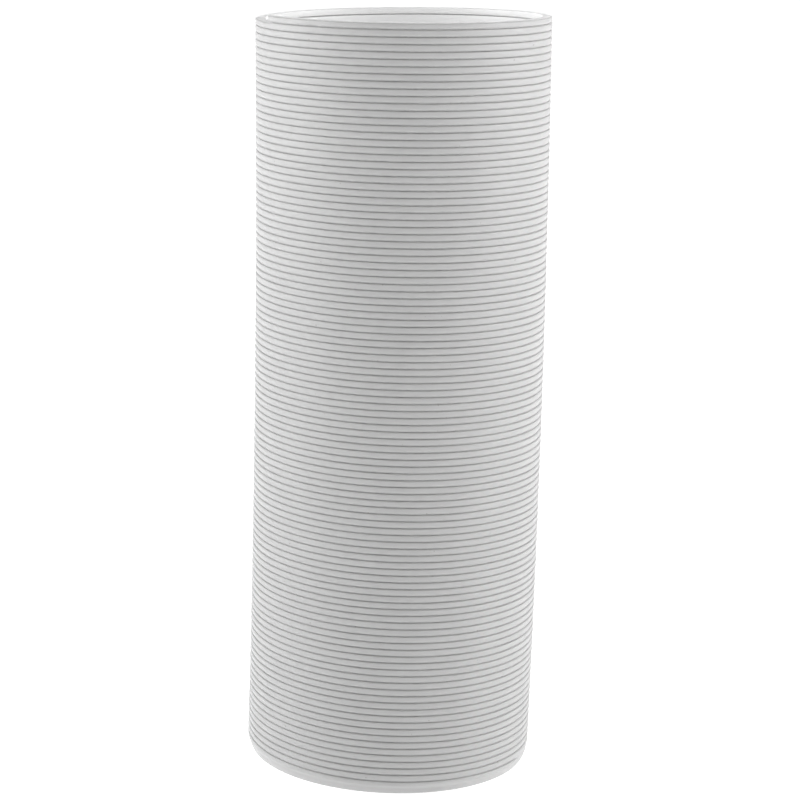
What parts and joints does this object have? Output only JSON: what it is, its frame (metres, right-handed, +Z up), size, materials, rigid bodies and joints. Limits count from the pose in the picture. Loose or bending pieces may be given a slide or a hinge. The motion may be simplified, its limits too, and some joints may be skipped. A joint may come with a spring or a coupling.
{
  "type": "tree guard tube",
  "caption": "Pull-out tree trunk guard: a ribbed plastic strip wound into a closed spiral tube that stretches and bends, open at both ends.",
  "frame": {"origin": "centre of the bottom rim, on the surface that the tube stands on", "axes": "+Z up along the tube's axis; the strip starts at +X at the foot, ends at -X at the top, and its front faces -Y; bending tips the top towards -X"},
  "size_m": [0.15, 0.15, 0.3884],
  "materials": {
    "rib_plastic": "satin natural white polypropylene",
    "web_film": "thin satin white film",
    "end_plastic": "satin natural white polypropylene, cut edge"
  },
  "bodies": {
    "bottom_end": {"bottom_end_turn": "end_plastic", "foot_band": "rib_plastic"},
    "web_01": {"web_fold_01": "web_film"},
    "band_01": {"rib_band_01": "rib_plastic"},
    "web_02": {"web_fold_02": "web_film"},
    "band_02": {"rib_band_02": "rib_plastic"},
    "web_03": {"web_fold_03": "web_film"},
    "band_03": {"rib_band_03": "rib_plastic"},
    "web_04": {"web_fold_04": "web_film"},
    "band_04": {"rib_band_04": "rib_plastic"},
    "web_05": {"web_fold_05": "web_film"},
    "band_05": {"rib_band_05": "rib_plastic"},
    "web_06": {"web_fold_06": "web_film"},
    "band_06": {"rib_band_06": "rib_plastic"},
    "web_07": {"web_fold_07": "web_film"},
    "band_07": {"rib_band_07": "rib_plastic"},
    "web_08": {"web_fold_08": "web_film"},
    "band_08": {"rib_band_08": "rib_plastic"},
    "web_09": {"web_fold_09": "web_film"},
    "band_09": {"rib_band_09": "rib_plastic"},
    "web_10": {"web_fold_10": "web_film"},
    "band_10": {"rib_band_10": "rib_plastic"},
    "web_11": {"web_fold_11": "web_film"},
    "band_11": {"rib_band_11": "rib_plastic"},
    "web_12": {"web_fold_12": "web_film"},
    "band_12": {"rib_band_12": "rib_plastic"},
    "web_13": {"web_fold_13": "web_film"},
    "band_13": {"rib_band_13": "rib_plastic"},
    "web_14": {"web_fold_14": "web_film"},
    "band_14": {"rib_band_14": "rib_plastic"},
    "web_15": {"web_fold_15": "web_film"},
    "band_15": {"rib_band_15": "rib_plastic"},
    "web_16": {"web_fold_16": "web_film"},
    "band_16": {"rib_band_16": "rib_plastic"},
    "web_17": {"web_fold_17": "web_film"},
    "band_17": {"rib_band_17": "rib_plastic"},
    "web_18": {"web_fold_18": "web_film"},
    "band_18": {"rib_band_18": "rib_plastic"},
    "web_19": {"web_fold_19": "web_film"},
    "band_19": {"rib_band_19": "rib_plastic"},
    "web_20": {"web_fold_20": "web_film"},
    "band_20": {"rib_band_20": "rib_plastic"},
    "web_21": {"web_fold_21": "web_film"},
    "band_21": {"rib_band_21": "rib_plastic", "top_end_turn": "end_plastic"}
  },
  "joints": [
    {"name": "bend_01", "type": "hinge", "parent": "bottom_end", "child": "web_01", "pos_m": [-0.075, 0, 0.0166], "axis": [0, -1, 0], "range_deg": [0, 3.75]},
    {"name": "pull_out_01", "type": "slide", "parent": "web_01", "child": "band_01", "axis": [0, 0, 1], "range_m": [0, 0.053], "deforming": ["web_fold_01"]},
    {"name": "bend_02", "type": "hinge", "parent": "band_01", "child": "web_02", "pos_m": [-0.075, 0, 0.0341], "axis": [0, -1, 0], "range_deg": [0, 3.75]},
    {"name": "pull_out_02", "type": "slide", "parent": "web_02", "child": "band_02", "axis": [0, 0, 1], "range_m": [0, 0.053], "deforming": ["web_fold_02"]},
    {"name": "bend_03", "type": "hinge", "parent": "band_02", "child": "web_03", "pos_m": [-0.075, 0, 0.0516], "axis": [0, -1, 0], "range_deg": [0, 3.75]},
    {"name": "pull_out_03", "type": "slide", "parent": "web_03", "child": "band_03", "axis": [0, 0, 1], "range_m": [0, 0.053], "deforming": ["web_fold_03"]},
    {"name": "bend_04", "type": "hinge", "parent": "band_03", "child": "web_04", "pos_m": [-0.075, 0, 0.0691], "axis": [0, -1, 0], "range_deg": [0, 3.75]},
    {"name": "pull_out_04", "type": "slide", "parent": "web_04", "child": "band_04", "axis": [0, 0, 1], "range_m": [0, 0.053], "deforming": ["web_fold_04"]},
    {"name": "bend_05", "type": "hinge", "parent": "band_04", "child": "web_05", "pos_m": [-0.075, 0, 0.0866], "axis": [0, -1, 0], "range_deg": [0, 3.75]},
    {"name": "pull_out_05", "type": "slide", "parent": "web_05", "child": "band_05", "axis": [0, 0, 1], "range_m": [0, 0.053], "deforming": ["web_fold_05"]},
    {"name": "bend_06", "type": "hinge", "parent": "band_05", "child": "web_06", "pos_m": [-0.075, 0, 0.1041], "axis": [0, -1, 0], "range_deg": [0, 3.75]},
    {"name": "pull_out_06", "type": "slide", "parent": "web_06", "child": "band_06", "axis": [0, 0, 1], "range_m": [0, 0.053], "deforming": ["web_fold_06"]},
    {"name": "bend_07", "type": "hinge", "parent": "band_06", "child": "web_07", "pos_m": [-0.075, 0, 0.1216], "axis": [0, -1, 0], "range_deg": [0, 3.75]},
    {"name": "pull_out_07", "type": "slide", "parent": "web_07", "child": "band_07", "axis": [0, 0, 1], "range_m": [0, 0.053], "deforming": ["web_fold_07"]},
    {"name": "bend_08", "type": "hinge", "parent": "band_07", "child": "web_08", "pos_m": [-0.075, 0, 0.1391], "axis": [0, -1, 0], "range_deg": [0, 3.75]},
    {"name": "pull_out_08", "type": "slide", "parent": "web_08", "child": "band_08", "axis": [0, 0, 1], "range_m": [0, 0.053], "deforming": ["web_fold_08"]},
    {"name": "bend_09", "type": "hinge", "parent": "band_08", "child": "web_09", "pos_m": [-0.075, 0, 0.1566], "axis": [0, -1, 0], "range_deg": [0, 3.75]},
    {"name": "pull_out_09", "type": "slide", "parent": "web_09", "child": "band_09", "axis": [0, 0, 1], "range_m": [0, 0.053], "deforming": ["web_fold_09"]},
    {"name": "bend_10", "type": "hinge", "parent": "band_09", "child": "web_10", "pos_m": [-0.075, 0, 0.1741], "axis": [0, -1, 0], "range_deg": [0, 3.75]},
    {"name": "pull_out_10", "type": "slide", "parent": "web_10", "child": "band_10", "axis": [0, 0, 1], "range_m": [0, 0.053], "deforming": ["web_fold_10"]},
    {"name": "bend_11", "type": "hinge", "parent": "band_10", "child": "web_11", "pos_m": [-0.075, 0, 0.1916], "axis": [0, -1, 0], "range_deg": [0, 3.75]},
    {"name": "pull_out_11", "type": "slide", "parent": "web_11", "child": "band_11", "axis": [0, 0, 1], "range_m": [0, 0.053], "deforming": ["web_fold_11"]},
    {"name": "bend_12", "type": "hinge", "parent": "band_11", "child": "web_12", "pos_m": [-0.075, 0, 0.2091], "axis": [0, -1, 0], "range_deg": [0, 3.75]},
    {"name": "pull_out_12", "type": "slide", "parent": "web_12", "child": "band_12", "axis": [0, 0, 1], "range_m": [0, 0.053], "deforming": ["web_fold_12"]},
    {"name": "bend_13", "type": "hinge", "parent": "band_12", "child": "web_13", "pos_m": [-0.075, 0, 0.2266], "axis": [0, -1, 0], "range_deg": [0, 3.75]},
    {"name": "pull_out_13", "type": "slide", "parent": "web_13", "child": "band_13", "axis": [0, 0, 1], "range_m": [0, 0.053], "deforming": ["web_fold_13"]},
    {"name": "bend_14", "type": "hinge", "parent": "band_13", "child": "web_14", "pos_m": [-0.075, 0, 0.2441], "axis": [0, -1, 0], "range_deg": [0, 3.75]},
    {"name": "pull_out_14", "type": "slide", "parent": "web_14", "child": "band_14", "axis": [0, 0, 1], "range_m": [0, 0.053], "deforming": ["web_fold_14"]},
    {"name": "bend_15", "type": "hinge", "parent": "band_14", "child": "web_15", "pos_m": [-0.075, 0, 0.2616], "axis": [0, -1, 0], "range_deg": [0, 3.75]},
    {"name": "pull_out_15", "type": "slide", "parent": "web_15", "child": "band_15", "axis": [0, 0, 1], "range_m": [0, 0.053], "deforming": ["web_fold_15"]},
    {"name": "bend_16", "type": "hinge", "parent": "band_15", "child": "web_16", "pos_m": [-0.075, 0, 0.2791], "axis": [0, -1, 0], "range_deg": [0, 3.75]},
    {"name": "pull_out_16", "type": "slide", "parent": "web_16", "child": "band_16", "axis": [0, 0, 1], "range_m": [0, 0.053], "deforming": ["web_fold_16"]},
    {"name": "bend_17", "type": "hinge", "parent": "band_16", "child": "web_17", "pos_m": [-0.075, 0, 0.2966], "axis": [0, -1, 0], "range_deg": [0, 3.75]},
    {"name": "pull_out_17", "type": "slide", "parent": "web_17", "child": "band_17", "axis": [0, 0, 1], "range_m": [0, 0.053], "deforming": ["web_fold_17"]},
    {"name": "bend_18", "type": "hinge", "parent": "band_17", "child": "web_18", "pos_m": [-0.075, 0, 0.3141], "axis": [0, -1, 0], "range_deg": [0, 3.75]},
    {"name": "pull_out_18", "type": "slide", "parent": "web_18", "child": "band_18", "axis": [0, 0, 1], "range_m": [0, 0.053], "deforming": ["web_fold_18"]},
    {"name": "bend_19", "type": "hinge", "parent": "band_18", "child": "web_19", "pos_m": [-0.075, 0, 0.3316], "axis": [0, -1, 0], "range_deg": [0, 3.75]},
    {"name": "pull_out_19", "type": "slide", "parent": "web_19", "child": "band_19", "axis": [0, 0, 1], "range_m": [0, 0.053], "deforming": ["web_fold_19"]},
    {"name": "bend_20", "type": "hinge", "parent": "band_19", "child": "web_20", "pos_m": [-0.075, 0, 0.3491], "axis": [0, -1, 0], "range_deg": [0, 3.75]},
    {"name": "pull_out_20", "type": "slide", "parent": "web_20", "child": "band_20", "axis": [0, 0, 1], "range_m": [0, 0.053], "deforming": ["web_fold_20"]},
    {"name": "bend_21", "type": "hinge", "parent": "band_20", "child": "web_21", "pos_m": [-0.075, 0, 0.3666], "axis": [0, -1, 0], "range_deg": [0, 3.75]},
    {"name": "pull_out_21", "type": "slide", "parent": "web_21", "child": "band_21", "axis": [0, 0, 1], "range_m": [0, 0.053], "deforming": ["web_fold_21"]}
  ],
  "couplings": [
    {"joint": "pull_out_02", "follows": "pull_out_01", "ratio": 1},
    {"joint": "bend_02", "follows": "bend_01", "ratio": 1},
    {"joint": "pull_out_03", "follows": "pull_out_01", "ratio": 1},
    {"joint": "bend_03", "follows": "bend_01", "ratio": 1},
    {"joint": "pull_out_04", "follows": "pull_out_01", "ratio": 1},
    {"joint": "bend_04", "follows": "bend_01", "ratio": 1},
    {"joint": "pull_out_05", "follows": "pull_out_01", "ratio": 1},
    {"joint": "bend_05", "follows": "bend_01", "ratio": 1},
    {"joint": "pull_out_06", "follows": "pull_out_01", "ratio": 1},
    {"joint": "bend_06", "follows": "bend_01", "ratio": 1},
    {"joint": "pull_out_07", "follows": "pull_out_01", "ratio": 1},
    {"joint": "bend_07", "follows": "bend_01", "ratio": 1},
    {"joint": "pull_out_08", "follows": "pull_out_01", "ratio": 1},
    {"joint": "bend_08", "follows": "bend_01", "ratio": 1},
    {"joint": "pull_out_09", "follows": "pull_out_01", "ratio": 1},
    {"joint": "bend_09", "follows": "bend_01", "ratio": 1},
    {"joint": "pull_out_10", "follows": "pull_out_01", "ratio": 1},
    {"joint": "bend_10", "follows": "bend_01", "ratio": 1},
    {"joint": "pull_out_11", "follows": "pull_out_01", "ratio": 1},
    {"joint": "bend_11", "follows": "bend_01", "ratio": 1},
    {"joint": "pull_out_12", "follows": "pull_out_01", "ratio": 1},
    {"joint": "bend_12", "follows": "bend_01", "ratio": 1},
    {"joint": "pull_out_13", "follows": "pull_out_01", "ratio": 1},
    {"joint": "bend_13", "follows": "bend_01", "ratio": 1},
    {"joint": "pull_out_14", "follows": "pull_out_01", "ratio": 1},
    {"joint": "bend_14", "follows": "bend_01", "ratio": 1},
    {"joint": "pull_out_15", "follows": "pull_out_01", "ratio": 1},
    {"joint": "bend_15", "follows": "bend_01", "ratio": 1},
    {"joint": "pull_out_16", "follows": "pull_out_01", "ratio": 1},
    {"joint": "bend_16", "follows": "bend_01", "ratio": 1},
    {"joint": "pull_out_17", "follows": "pull_out_01", "ratio": 1},
    {"joint": "bend_17", "follows": "bend_01", "ratio": 1},
    {"joint": "pull_out_18", "follows": "pull_out_01", "ratio": 1},
    {"joint": "bend_18", "follows": "bend_01", "ratio": 1},
    {"joint": "pull_out_19", "follows": "pull_out_01", "ratio": 1},
    {"joint": "bend_19", "follows": "bend_01", "ratio": 1},
    {"joint": "pull_out_20", "follows": "pull_out_01", "ratio": 1},
    {"joint": "bend_20", "follows": "bend_01", "ratio": 1},
    {"joint": "pull_out_21", "follows": "pull_out_01", "ratio": 1},
    {"joint": "bend_21", "follows": "bend_01", "ratio": 1}
  ]
}
